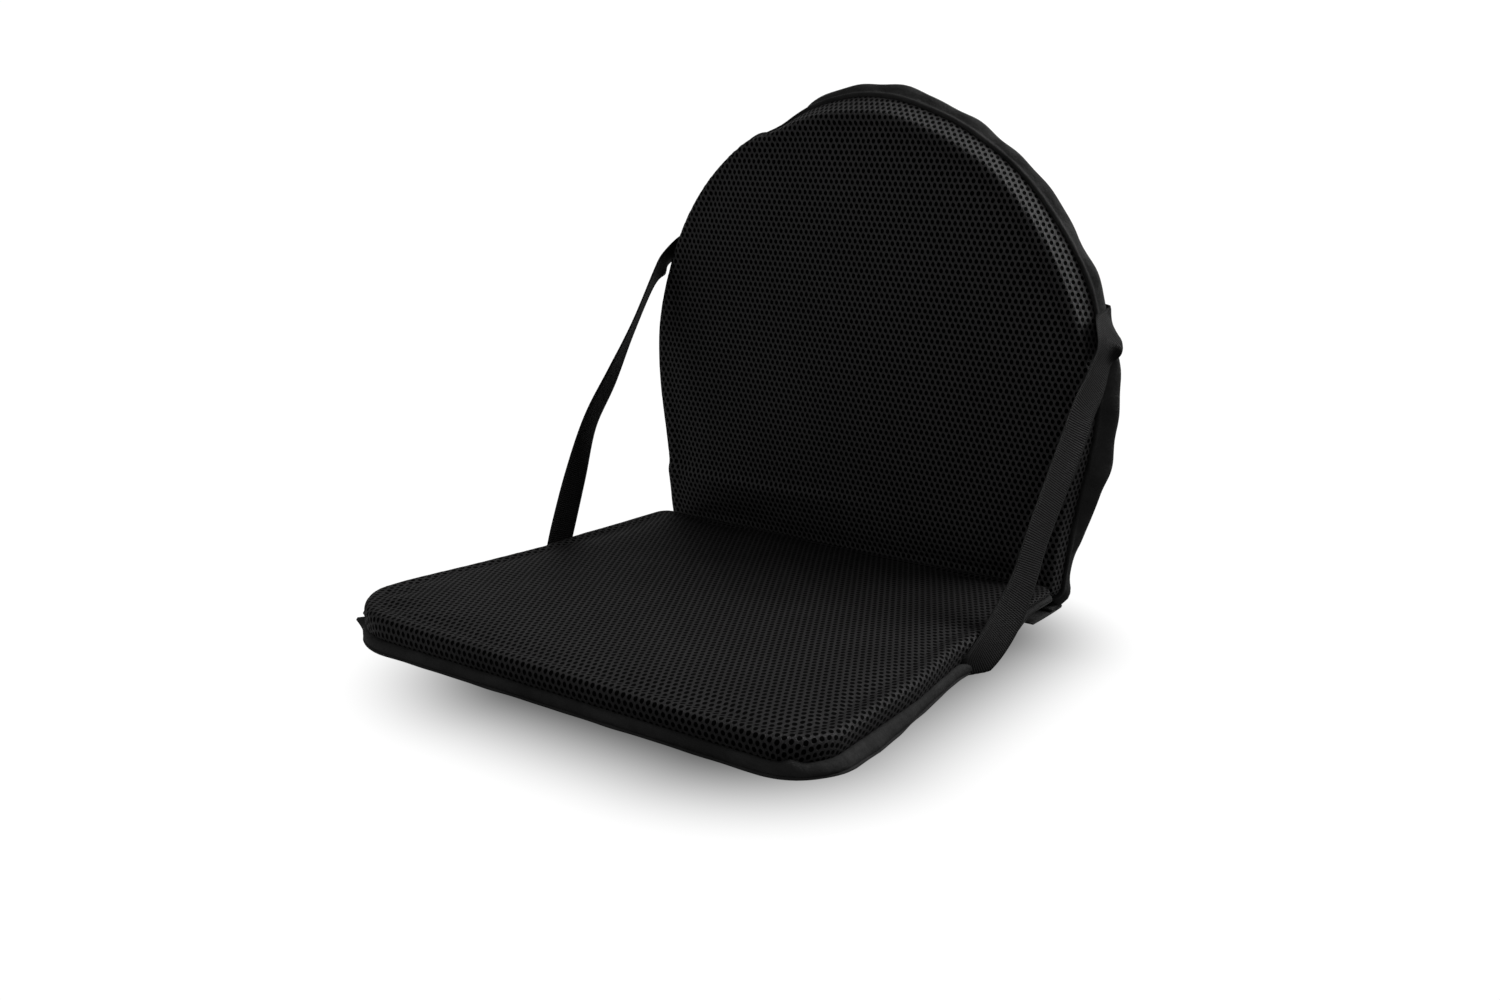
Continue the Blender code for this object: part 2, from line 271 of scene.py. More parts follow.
# ---------------------------------------------------------------- materials
class Nodes:
    """A material with its Principled shader and a short way to add nodes."""

    def __init__(self, name, **fixed):
        self.mat = bpy.data.materials.new(name)
        self.mat.use_nodes = True
        self.tree = self.mat.node_tree
        self.shader = self.tree.nodes["Principled BSDF"]
        for key, value in fixed.items():
            self.shader.inputs[key.replace("_", " ")].default_value = value

    def add(self, kind, inputs=None, **props):
        node = self.tree.nodes.new(kind)
        for key, value in props.items():
            setattr(node, key, value)
        for key, value in (inputs or {}).items():
            if isinstance(value, bpy.types.NodeSocket):
                self.tree.links.new(value, node.inputs[key])
            else:
                node.inputs[key].default_value = value
        return node

    def math(self, op, a, b=0.0, c=0.0):
        return self.add("ShaderNodeMath", {0: a, 1: b, 2: c}, operation=op).outputs[0]

    def ramp(self, value, low, high, to_low=0.0, to_high=1.0):
        return self.add("ShaderNodeMapRange", {0: value, 1: low, 2: high, 3: to_low, 4: to_high},
                        interpolation_type="SMOOTHSTEP").outputs[0]

    def colour(self, factor, a, b):
        node = self.add("ShaderNodeMix", {0: factor}, data_type="RGBA")
        node.inputs[6].default_value = (*a, 1)
        node.inputs[7].default_value = (*b, 1)
        return node.outputs[2]

    def noise(self, vector, scale, detail=2.0, rough=0.5):
        return self.add("ShaderNodeTexNoise", {"Vector": vector, "Scale": scale, "Detail": detail,
                                               "Roughness": rough}).outputs["Fac"]

    def bump(self, height, distance, strength=1.0, normal=None):
        inputs = {"Height": height, "Distance": distance, "Strength": strength}
        if normal is not None:
            inputs["Normal"] = normal
        return self.add("ShaderNodeBump", inputs).outputs["Normal"]

    def link(self, socket, name):
        self.tree.links.new(socket, self.shader.inputs[name])

    def weave_uv(self):
        at = self.add("ShaderNodeAttribute", attribute_name="weave").outputs["Vector"]
        parts = self.add("ShaderNodeSeparateXYZ", {0: at})
        return at, parts.outputs[0], parts.outputs[1]


def air_mesh(name, strand_relief_and_highlight, painted_shade_scale, sheen):
    """Knitted air mesh: rows of round holes, every second row shifted by half a pitch. The holes carry
    painted shade and the slanting strands a painted highlight.
    """
    n = Nodes(name, Specular_IOR_Level=sheen)
    at, u, v = n.weave_uv()
    # place within a hole's cell, -0.5 to 0.5; the 500 cells added keep the fractions positive
    row = n.math("FLOOR", n.math("DIVIDE", v, MESH_ROW))
    shift = n.math("ABSOLUTE", n.math("MULTIPLY", n.math("MODULO", row, 2.0), 0.5))
    column = n.math("ADD", n.math("DIVIDE", u, MESH_PITCH), n.math("ADD", shift, 500.0))
    cu = n.math("SUBTRACT", n.math("FRACT", column), 0.5)
    cv = n.math("SUBTRACT", n.math("FRACT", n.math("ADD", n.math("DIVIDE", v, MESH_ROW), 500.0)), 0.5)
    wobble = n.math("MULTIPLY", n.math("SUBTRACT", n.noise(at, 260.0, 1.0), 0.5), 0.10)
    du = n.math("MULTIPLY", n.math("ADD", cu, wobble), MESH_PITCH / HOLE_WIDE)
    dv = n.math("MULTIPLY", n.math("ADD", cv, wobble), MESH_ROW / HOLE_TALL)
    d = n.math("SQRT", n.math("ADD", n.math("MULTIPLY", du, du), n.math("MULTIPLY", dv, dv)))
    thread = n.ramp(d, 0.74, 1.10)
    # knitted strands run down between the slanting rows of holes: raised in the bump, and lightened in colour
    # as a painted highlight
    slant = n.math("ADD", n.math("DIVIDE", u, MESH_PITCH), n.math("DIVIDE", v, 2 * MESH_ROW))
    strand_ridge_and_highlight = n.math("COSINE", n.math("MULTIPLY", n.math("SUBTRACT", slant, 0.25), 2 * math.pi))
    strand_ridge_and_highlight = n.math("ADD", n.math("MULTIPLY", strand_ridge_and_highlight, 0.5), 0.5)
    fuzz = n.noise(at, 1500.0, 3.0, 0.6)
    broad = n.noise(at, 22.0, 3.0)
    knit = n.math("SINE", n.math("MULTIPLY", n.math("ADD", u, n.math("MULTIPLY", v, 0.6)), 7800.0))
    tone = n.math("ADD", n.math("MULTIPLY", n.ramp(fuzz, 0.25, 0.75), 0.45),
                  n.math("MULTIPLY", broad, 0.65 - strand_relief_and_highlight))
    # painted highlight: the strands are made lighter in colour along the slanting lines
    tone = n.math("ADD", tone, n.math("MULTIPLY", strand_ridge_and_highlight, strand_relief_and_highlight))
    shade = n.math("MULTIPLY", thread, n.math("MINIMUM", tone, 1.0))
    # painted shade: this scale darkens the threads' colour for the seat's copy of the cloth
    light = tuple(part * painted_shade_scale for part in (0.0185, 0.0178, 0.0183))
    # painted shade: the holes are coloured near black, and a black Specular Tint there stops their
    # reflection; this paints the shade inside the holes
    n.link(n.colour(shade, (0.0002,) * 3, light), "Base Color")
    n.link(n.colour(thread, (0.0, 0.0, 0.0), (1.0, 1.0, 1.0)), "Specular Tint")
    n.link(n.ramp(thread, 0.0, 1.0, 0.95, 0.50), "Roughness")
    lip = n.math("MULTIPLY", thread, n.ramp(d, 1.9, 1.0, 0.75, 1.0))
    lip = n.math("ADD", lip, n.math("MULTIPLY", strand_ridge_and_highlight, 0.6 * strand_relief_and_highlight))
    fine = n.bump(n.math("ADD", fuzz, n.math("MULTIPLY", knit, 0.25)), 0.00028, 0.7)
    n.link(n.bump(lip, 0.0012, 0.8, fine), "Normal")
    return n.mat


def plain_cloth(name, tone, spec, rough):
    """Plain woven cloth with small creases."""
    n = Nodes(name, Specular_IOR_Level=spec)
    at, u, v = n.weave_uv()
    k = 2 * math.pi / PLAIN_THREAD
    warp = n.math("SINE", n.math("MULTIPLY", u, k))
    weft = n.math("SINE", n.math("MULTIPLY", v, k))
    weave = n.math("MULTIPLY", warp, weft)
    fuzz = n.noise(at, 900.0, 3.0, 0.6)
    broad = n.noise(at, 30.0, 3.0)
    shade = n.math("ADD", n.math("MULTIPLY", n.ramp(broad, 0.3, 0.7), 0.5), n.math("MULTIPLY", fuzz, 0.5))
    n.link(n.colour(shade, (tone * 0.40,) * 3, (tone * 1.60,) * 3), "Base Color")
    n.link(n.ramp(fuzz, 0.3, 0.7, rough - 0.08, rough + 0.12), "Roughness")
    crease = n.bump(n.noise(at, 95.0, 3.0, 0.6), 0.0040, 0.7)
    n.link(n.bump(n.math("ADD", weave, n.math("MULTIPLY", fuzz, 0.6)), 0.00016, 0.6, crease), "Normal")
    return n.mat


def webbing(name):
    """Ribbed narrow webbing: weave is (across, along) in metres."""
    n = Nodes(name, Specular_IOR_Level=0.07)
    at, u, v = n.weave_uv()
    edge = n.ramp(n.math("ABSOLUTE", u), 0.0108, 0.0118)
    rib = n.math("SINE", n.math("MULTIPLY", v, 2 * math.pi / WEB_RIB))
    half_rib = n.math("FLOOR", n.math("DIVIDE", v, WEB_RIB / 2))
    cross = n.math("SINE", n.math("ADD", n.math("MULTIPLY", u, 2 * math.pi / WEB_CROSS),
                                  n.math("MULTIPLY", half_rib, math.pi)))
    body = n.math("ADD", n.math("MULTIPLY", rib, 0.6), n.math("MULTIPLY", cross, 0.25))
    selvedge = n.math("SINE", n.math("MULTIPLY", v, 2 * math.pi / WEB_SELVEDGE))
    height = n.add("ShaderNodeMix", {0: edge, 2: body, 3: selvedge}, data_type="FLOAT").outputs[0]
    fuzz = n.noise(at, 1100.0, 3.0, 0.6)
    # painted shade: the colour follows the rib height, darker in the grooves and lighter on the raised ribs
    shade = n.math("ADD", n.math("MULTIPLY", n.ramp(height, -0.8, 0.8), 0.65), n.math("MULTIPLY", fuzz, 0.35))
    n.link(n.colour(shade, (0.0003,) * 3, (0.0095, 0.0093, 0.0093)), "Base Color")
    n.link(n.ramp(fuzz, 0.3, 0.7, 0.42, 0.6), "Roughness")
    n.link(n.bump(n.math("ADD", height, n.math("MULTIPLY", fuzz, 0.4)), 0.00036, 1.0), "Normal")
    return n.mat


def thread_material(name):
    """Twisted sewing thread."""
    n = Nodes(name, Specular_IOR_Level=0.4)
    at = n.add("ShaderNodeTexCoord").outputs["Object"]
    twist = n.noise(at, 2500.0, 2.0)
    n.link(n.colour(twist, (0.008,) * 3, (0.035,) * 3), "Base Color")
    n.link(n.ramp(twist, 0.3, 0.7, 0.4, 0.6), "Roughness")
    n.link(n.bump(twist, 0.0001, 0.6), "Normal")
    return n.mat


def board_material(name):
    """Grey plastic board, hidden inside the pads."""
    n = Nodes(name, Specular_IOR_Level=0.3)
    at = n.add("ShaderNodeTexCoord").outputs["Object"]
    grain = n.noise(at, 160.0, 4.0, 0.6)
    fleck = n.noise(at, 900.0, 2.0)
    n.link(n.colour(grain, (0.05, 0.05, 0.052), (0.11, 0.11, 0.112)), "Base Color")
    n.link(n.ramp(fleck, 0.3, 0.7, 0.45, 0.65), "Roughness")
    n.link(n.bump(fleck, 0.0002, 0.4), "Normal")
    return n.mat


BOARD = board_material("stiffener_board")
# one mesh cloth in two copies: the seat's is painted 15% darker (0.85 against 1.0) than the back's, as
# painted shade, with less strand relief and a weaker painted strand highlight
SEAT_MESH = air_mesh("seat_mesh_cloth", 0.10, 0.85, 0.12)
BACK_MESH = air_mesh("back_mesh_cloth", 0.35, 1.0, 0.18)
BAND_CLOTH = plain_cloth("band_cloth", 0.012, 0.08, 0.60)
REAR_CLOTH = plain_cloth("rear_cloth", 0.014, 0.12, 0.62)
BASE_CLOTH = plain_cloth("base_cloth", 0.010, 0.10, 0.70)
STRAP_WEB = webbing("strap_webbing")
THREAD = thread_material("stitch_thread")


def paint(obj, mat):
    """Give a piece its one material, in the mesh's one material slot."""
    obj.data.materials.clear()
    obj.data.materials.append(mat)


# ---------------------------------------------------------------- padded panels
def loft_pad(name, rings):
    """A closed pad from rings of equal count, both ends capped."""
    count = len(rings[0])
    verts = np.vstack(rings)
    faces = ring_faces(len(rings), count)
    faces.append(tuple(range(count))[::-1])
    faces.append(tuple(range((len(rings) - 1) * count, len(rings) * count)))
    obj = mesh_object(name, verts, faces)
    outward(obj)
    return obj


VOXEL = 0.0045
CLOTH_FRAMES = 20
PRESSURE = 4.0
MOVE_CAP = 0.0018     # how far the pressure may move a point


def inflate(obj, held):
    """Voxel remesh, cloth with pressure, capped movement, one subdivision."""
    mod = obj.modifiers.new("remesh", "REMESH")
    mod.mode = "VOXEL"
    mod.voxel_size = VOXEL
    apply_modifiers(obj)
    start = co(obj)
    pin = obj.vertex_groups.new(name="held")
    for i in np.flatnonzero(held(start)):
        pin.add([int(i)], 1.0, "REPLACE")
    cloth = obj.modifiers.new("cloth", "CLOTH")
    s = cloth.settings
    s.quality = 5
    s.mass = 0.3
    s.tension_stiffness = s.compression_stiffness = 30
    s.shear_stiffness = 12
    s.bending_stiffness = 4
    s.use_pressure = True
    s.uniform_pressure_force = PRESSURE
    s.vertex_group_mass = "held"
    s.effector_weights.gravity = 0
    cloth.collision_settings.use_self_collision = False
    cloth.point_cache.frame_start, cloth.point_cache.frame_end = 1, CLOTH_FRAMES
    scene = bpy.context.scene
    for f in range(1, CLOTH_FRAMES + 1):
        scene.frame_set(f)
    graph = bpy.context.evaluated_depsgraph_get()
    made = bpy.data.meshes.new_from_object(obj.evaluated_get(graph))
    moved = np.empty(len(made.vertices) * 3, np.float32)
    made.vertices.foreach_get("co", moved)
    bpy.data.meshes.remove(made)
    obj.modifiers.clear()
    obj.vertex_groups.clear()
    scene.frame_set(1)
    shift = moved.reshape(-1, 3) - start
    size = np.linalg.norm(shift, axis=1)[:, None]
    soft = MOVE_CAP * np.tanh(size / MOVE_CAP)
    set_co(obj, start + shift * soft / np.maximum(size, 1e-9))
    smooth = obj.modifiers.new("smooth", "SUBSURF")
    smooth.levels = smooth.render_levels = 1
    apply_modifiers(obj)


CHUNK = 4000          # points compared with an outline at once


def nearest(points, outline, normals, s):
    """For each point: inset from the outline, its normal there and the arc length."""
    inset = np.empty(len(points))
    normal = np.empty((len(points), 2))
    along = np.empty(len(points))
    for a in range(0, len(points), CHUNK):
        part = slice(a, a + CHUNK)
        d = points[part, None, :] - outline[None]
        i = (d ** 2).sum(2).argmin(1)
        off = d[np.arange(len(i)), i]
        inset[part] = -(off * normals[i]).sum(1)
        normal[part] = normals[i]
        along[part] = s[i]
    return inset, normal, along


def crease(inset, depth, lean, edge, core):
    """Draw a pad's round edge onto a crisp profile; also gives the cloth's length past the core.

    Every point outside the core (inset, depth) moves along its ray from there to the profile, and lean
    shifts the profile's points by their own share of it."""
    cx, cy = core[0] + lean, core[1]
    dx, dy = inset - cx, depth - cy
    new_inset, new_depth = inset.copy(), depth.copy()
    length = np.zeros_like(inset)
    hit = np.zeros(len(inset), bool)
    run = np.zeros_like(inset)
    for (i0, d0, l0), (i1, d1, l1) in zip(edge[::-1], edge[-2::-1]):
        ax, ay = i0 + lean * l0 - cx, d0 - cy
        ex, ey = i1 + lean * l1 - cx - ax, d1 - cy - ay
        cross = dx * ey - dy * ex
        cross = np.where(np.abs(cross) < 1e-12, 1e-12, cross)
        t, u = (ax * ey - ay * ex) / cross, (ax * dy - ay * dx) / cross
        size = np.hypot(ex, ey)
        ok = (t > 0) & (u >= 0) & (u <= 1) & ~hit & (dx < 0)
        new_inset = np.where(ok, cx + dx * t, new_inset)
        new_depth = np.where(ok, cy + dy * t, new_depth)
        length = np.where(ok, run + u * size, length)
        run = run + size
        hit |= ok
    w = ease(np.where(hit, -dx / 0.005, 0))
    length = np.where(hit, length, np.where(dx < 0, run, 0))
    return inset + (new_inset - inset) * w, depth + (new_depth - depth) * w, length


def edge_cloth(plane, normal, inset, reach, length):
    """Weave coordinates: the face as it lies, its wall unrolled outwards past the reach."""
    past = np.where(inset < reach, inset - reach + length, 0)
    return plane + normal * past[:, None]


seat_p, seat_n, seat_s = resample(seat_path(), N)
back_p, back_n, back_s = resample(back_path(), N)
SEAT_LEN = seat_s[-1] * N / (N - 1)
BACK_LEN = back_s[-1] * N / (N - 1)


def seat_ring(inset, z):
    """A ring round the seat at a height; low down, the +X side flares towards the front."""
    p = seat_p - seat_n * np.broadcast_to(inset, (N,))[:, None]
    z = np.broadcast_to(z, (N,))
    flare = np.maximum(side_out(p[:, 1]), 0) * side_share(p[:, 0])
    p[:, 0] += flare * np.clip(1 - (z - 0.003) / 0.010, 0, 1)
    return np.column_stack([p, z])


def back_ring(inset, behind):
    """A ring round the back, this far behind its face."""
    p = back_p - back_n * np.broadcast_to(inset, (N,))[:, None]
    return np.column_stack([p[:, 0], FACE_Y + np.broadcast_to(behind, (N,)), p[:, 1]])


CORNER_LIFT = 0.0170


def settle(points):
    """The seat is pressed thin towards its rear corners, where the straps pull it up."""
    p = np.array(points, float)
    lift = CORNER_LIFT * ease((np.abs(p[..., 0]) - 0.105) / 0.075)
    lift = lift * ease((p[..., 1] - FACE_Y + 0.110) / 0.065)
    p[..., 2] += lift * np.clip(1 - p[..., 2] / SEAT_TOP, 0, 1)
    return p


# edge profiles, rear or underside to face: inset from the seam, depth under the face, share of the lean
SEAT_EDGE = [(0.0030, 0.0215, 0), (0.0028, 0.0172, 0), (0.0010, 0.0150, 0), (0.0003, 0.0105, 0),
             (0.0002, 0.0060, 0), (0.0008, 0.0038, 0), (0.0024, 0.0019, 0), (0.0052, 0.0011, 0),
             (0.0140, 0.0010, 0)]
SEAT_CORE = (0.0140, 0.0110)
BACK_EDGE = [(0.0030, 0.0225, 0), (0.0028, 0.0172, 0), (0.0008, 0.0150, 0.05), (0.0006, 0.0105, 0.40),
             (0.0010, 0.0062, 0.75), (0.0014, 0.0024, 1), (0.0030, 0.0006, 1), (0.0060, 0.0002, 1),
             (0.0140, 0.0, 1)]
BACK_CORE = (0.0140, 0.0100)


def make_seat_board():
    """The stiffener under the foam: a thin plate inside the seam, bent up with the rear corners."""
    prof = [(0.0080, 0.0017), (0.0076, 0.0019), (0.0076, 0.0036), (0.0080, 0.0038)]
    board = loft_pad("seat_stiffener", [settle(seat_ring(inset, z)) for inset, z in prof])
    paint(board, BOARD)
    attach(board, "seat")
    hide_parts("seat_board")


def make_seat_pad():
    """The seat's foam in its air mesh: lofted, inflated, given a crisp shoulder and a slightly domed top."""
    edge = wave(seat_s, SEAT_LEN, 3, 0.0005, (9, 14, 23))
    prof = [(0.0030, 0.0045), (0.0028, 0.0105), (0.0012, 0.0135), (0.0006, 0.0165),
            (0.0016, 0.0195), (0.0040, 0.0223), (0.0075, 0.0238), (0.0120, 0.0243)]
    rings = [seat_ring(i + edge * (k > 1), z) for k, (i, z) in enumerate(prof)]
    pad = loft_pad("seat_pad", rings)
    inflate(pad, lambda p: p[:, 2] < 0.0112)
    p = co(pad)
    plane = p[:, :2]
    inset, normal, along = nearest(plane, seat_p, seat_n, seat_s)
    new_inset, depth, length = crease(inset, SEAT_TOP - p[:, 2], 0.0, SEAT_EDGE, SEAT_CORE)
    weave = edge_cloth(plane, normal, inset, SEAT_CORE[0], length)
    p[:, :2] += normal * (inset - new_inset)[:, None]
    p[:, 2] = SEAT_TOP - depth
    top = np.clip((p[:, 2] - 0.018) / 0.004, 0, 1)
    p[:, 2] += top * (0.0011 * ease(inset / 0.05)
                      + 0.0004 * np.sin(p[:, 0] * 31 + 1.0) * np.sin(p[:, 1] * 27 + 0.4))
    # the foam stands a little higher towards -X, most of all in front
    front = ease((FACE_Y - 0.02 - p[:, 1]) / 0.20)
    swell = 0.0016 * ease((0.03 - p[:, 0]) / 0.17) * (0.35 + 0.65 * front)
    p[:, 2] += swell * np.clip((p[:, 2] - 0.012) / 0.010, 0, 1)
    set_co(pad, settle(p))
    set_vector(pad, "weave", weave)
    paint(pad, SEAT_MESH)
    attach(pad, "seat")
    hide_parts("seat_mesh_cover", "seat_foam")


def make_back_pad():
    """The backrest's foam in its air mesh; its wall leans in by WALL_LEAN."""
    edge = wave(back_s, BACK_LEN, 5, 0.0004, (8, 13, 21))
    lean = round_arch(WALL_LEAN, back_p)
    prof = [(0.0030, 0.0225, 0.0), (0.0028, 0.0172, 0.0), (0.0008, 0.0150, 0.05), (0.0006, 0.0105, 0.40),
            (0.0012, 0.0065, 0.75), (0.0024, 0.0036, 1.0), (0.0052, 0.0018, 1.0), (0.0110, 0.0012, 1.0)]
    rings = [back_ring(i + lean * t + edge * (k > 1), b) for k, (i, b, t) in enumerate(prof)]
    pad = loft_pad("back_pad", rings)
    inflate(pad, lambda p: p[:, 1] > FACE_Y + 0.0165)
    p = co(pad)
    plane = p[:, [0, 2]]
    inset, normal, along = nearest(plane, back_p, back_n, back_s)
    local = np.interp(along, back_s, lean)
    new_inset, depth, length = crease(inset, p[:, 1] - FACE_Y, local, BACK_EDGE, BACK_CORE)
    weave = edge_cloth(plane, normal, inset, BACK_CORE[0] + local, length)
    p[:, [0, 2]] += normal * (inset - new_inset)[:, None]
    p[:, 1] = FACE_Y + depth
    face = np.clip((0.011 - depth) / 0.006, 0, 1)
    # the pad is bent over the seat: a roll with a lit ledge above it, deepest towards -X
    x, z = p[:, 0], p[:, 2] - SEAT_TOP
    ledge = 0.037 - 0.0015 * np.cos((x + 0.10) * 24)
    reach = 1 / (1 + np.exp((x + 0.015) / 0.022))
    step = 1 / (1 + np.exp((z - ledge) / 0.0016))
    tuck = np.clip((ledge - z) / 0.045, 0, 1)
    p[:, 1] += face * reach * (-0.0030 * step * (1 - tuck) + 0.0050 * tuck ** 1.3)
    p[:, 1] += face * (1 - reach) * 0.0030 * np.clip((0.030 - z) / 0.045, 0, 1) ** 1.5
    p[:, 1] += face * 0.0005 * np.sin(x * 29 + 2.0) * np.sin(z * 25 + 0.9)
    set_co(pad, p)
    set_vector(pad, "weave", weave)
    paint(pad, BACK_MESH)
    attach(pad, "back")
    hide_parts("back_mesh_cover", "back_foam")


# ---------------------------------------------------------------- bands, rims and flat cloths
def strip_from_rings(name, rings, s, mat):
    """An open strip of cloth round a pad; its weave runs along the pad and over the rings."""
    obj = mesh_object(name, np.vstack(rings), ring_faces(len(rings), N))
    rows = np.array(rings)
    climb = np.concatenate([[0], np.cumsum(np.linalg.norm(np.diff(rows, axis=0), axis=2).mean(1))])
    set_vector(obj, "weave", np.column_stack([np.tile(s, len(rings)), np.repeat(climb, N)]))
    outward(obj)
    paint(obj, mat)
    return obj


def make_seat_band():
    """The plain band, with small lobes at the front -X corner and a pleat at the +X one; the binding."""
    lobes = bump_at(seat_s, SEAT_LEN, 0.020, 0.0035) + 0.9 * bump_at(seat_s, SEAT_LEN, 0.034, 0.0045)
    pleat_at = seat_s[np.argmin(np.linalg.norm(seat_p - [0.1720, FACE_Y - 0.3430], axis=1))]
    pleat = bump_at(seat_s, SEAT_LEN, pleat_at, 0.0050)
    corner = bump_at(seat_s, SEAT_LEN, pleat_at + 0.026, 0.026) * np.sin(seat_s * 2 * np.pi / 0.0085)
    w1 = wave(seat_s, SEAT_LEN, 11, 0.0006, (17, 29, 41))
    w2 = wave(seat_s, SEAT_LEN, 12, 0.0009, (13, 23, 37))
    prof = [(0.0036, 0.0098, 0, 0), (0.0018, 0.0102, 0.3, 0.7), (-0.0002, 0.0094, 1, 1.0),
            (-0.0012, 0.0076, 1, 1.0), (-0.0015, 0.0055, 1, 0.6), (-0.0015, 0.0036, 0.8, 0.1),
            (-0.0006, 0.0024, 0.3, 0), (0.0030, 0.0020, 0, 0)]
    out = lobes * 0.0062 + pleat * 0.0022 + corner * 0.0009
    up = lobes * 0.0016 + pleat * 0.0042
    rings = [settle(seat_ring(i + w1 * t - out * g, z + w2 * t * (z > 0.004) + up * g))
             for i, z, t, g in prof]
    band = strip_from_rings("seat_band", rings, seat_s, BAND_CLOTH)
    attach(band, "seat")
    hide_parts("seat_side_band")
    w3 = wave(seat_s, SEAT_LEN, 13, 0.0004, (15, 27, 44))
    circle = [(0.0020 * math.cos(a), 0.0013 * math.sin(a)) for a in np.linspace(0, 2 * math.pi, 11)]
    rings = [settle(seat_ring(0.0003 - u + w3, 0.0017 + v)) for u, v in circle]
    bind = strip_from_rings("seat_binding", rings, seat_s, BAND_CLOTH)
    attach(bind, "seat")
    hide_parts("seat_edge_binding")


def disc_cloth(name, ring_at, mat, shape, plane_of):
    """A flat panel of shrinking rings with a point in the middle, then shaped."""
    rows = [ring_at(k) for k in PANEL_LEVELS]
    centre = rows[-1].mean(0)
    verts = np.vstack(rows + [centre[None]])
    faces = ring_faces(len(rows), N)
    last = (len(rows) - 1) * N
    faces += [(last + j, last + (j + 1) % N, len(verts) - 1) for j in range(N)]
    verts = shape(verts)
    obj = mesh_object(name, verts, faces)
    set_vector(obj, "weave", plane_of(verts))
    outward(obj)
    paint(obj, mat)
    return obj


def make_seat_base():
    """The plain underside, barely off the floor."""
    centre = np.array([0.0, (SEAT_FRONT + SEAT_REAR) / 2])
    base_z = 0.0006

    def ring(k):
        p = seat_ring(0.0006, 0.0)[:, :2]
        p = centre + (p - centre) * k
        return np.column_stack([p, np.full(N, base_z)])

    def sag(v):
        v = settle(v)
        lifted = v[:, 2] - base_z
        r = np.abs(v[:, :2] - centre).max(1)
        lift = 0.0009 * np.clip((r - 0.170) / 0.02, 0, 1)
        v[:, 2] = base_z + lifted + lift + 0.0004 * (1 + np.sin(v[:, 0] * 60) * np.sin(v[:, 1] * 55)) / 2
        return v

    base = disc_cloth("seat_base", ring, BASE_CLOTH, sag, lambda v: v[:, :2])
    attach(base, "seat")
    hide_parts("seat_base_panel")


def make_back_rim():
    """The band behind the back's mesh wall and the wavy rim that stands out of it."""
    w1 = wave(back_s, BACK_LEN, 21, 0.0009, (19, 27, 38))
    w2 = wave(back_s, BACK_LEN, 22, 0.0014, (9, 16, 25))
    out = round_arch(RIM_OUT, back_p)
    out = out + w1 * np.clip(out / 0.004, 0.3, 1)
    # the front edge is a turned lip; the cloth behind it ripples
    prof = [(0.0040, 0, 0.0168), (0.0010, 0, 0.0160), (-0.0004, 0, 0.0149), (-0.0014, 0.05, 0.0150),
            (-0.0016, 0.10, 0.0163), (-0.0006, 0.22, 0.0172), (0.0003, 0.45, 0.0181), (0.0006, 0.72, 0.0192),
            (0.0006, 0.97, 0.0210), (0.0006, 1.05, 0.0228), (0.0006, 1.00, 0.0246), (0.0006, 0.60, 0.0258),
            (0.0006, 0.15, 0.0264), (0.0040, 0, 0.0268)]
    w3 = wave(back_s, BACK_LEN, 23, 0.0011, (41, 58, 73))
    rings = []
    for inset, f, b in prof:
        ripple = w2 * f * 0.7 + w3 * math.sin(math.pi * min(f, 1.0)) * (b < 0.0225)
        rings.append(back_ring(inset - out * f, b + ripple))
    rings = [np.column_stack([r[:, :2], np.maximum(r[:, 2], 0.0008)]) for r in rings]
    rim = strip_from_rings("back_rim", rings, back_s, BAND_CLOTH)
    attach(rim, "back")
    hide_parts("back_rim_binding", "back_side_band")


def make_back_rear():
    """The plain rear of the back, slightly puffed."""
    centre = np.array([0.0, (BACK_LOW[2] + BACK_HIGH[2]) / 2])

    def ring(k):
        p = back_p - back_n * 0.0015
        p = centre + (p - centre) * k
        return np.column_stack([p[:, 0], np.full(N, FACE_Y + 0.0270), p[:, 1]])

    def puff(v):
        r = np.linalg.norm((v[:, [0, 2]] - centre) / [0.19, 0.18], axis=1)
        v[:, 1] = FACE_Y + 0.0268 + 0.0012 * np.clip(1 - r ** 3, 0, 1) + 0.0003 * (
            np.sin(v[:, 0] * 45 + 1) * np.sin(v[:, 2] * 38))
        return v

    rear = disc_cloth("back_rear", ring, REAR_CLOTH, puff, lambda v: v[:, [0, 2]])
    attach(rear, "back")
    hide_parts("back_rear_panel")


make_seat_board()
make_seat_pad()
make_back_pad()
make_seat_band()
make_seat_base()
make_back_rim()
make_back_rear()


# ---------------------------------------------------------------- straps and hinge cloth
def spline(knots, count):
    """Catmull-Rom through the knots, resampled to equal steps; knots may carry extra values."""
    k = np.asarray(knots, float)
    k = np.vstack([2 * k[0] - k[1], k, 2 * k[-1] - k[-2]])
    out = []
    for a, b, c, d in zip(k, k[1:], k[2:], k[3:]):
        t = np.linspace(0, 1, 24, endpoint=False)[:, None]
        out.append(0.5 * (2 * b + (c - a) * t + (2 * a - 5 * b + 4 * c - d) * t ** 2
                          + (3 * b - a - 3 * c + d) * t ** 3))
    p = np.vstack(out + [k[-2][None]])
    at = np.concatenate([[0], np.cumsum(np.linalg.norm(np.diff(p[:, :3], axis=0), axis=1))])
    s = np.linspace(0, at[-1], count)
    return np.column_stack([np.interp(s, at, p[:, j]) for j in range(p.shape[1])]), s


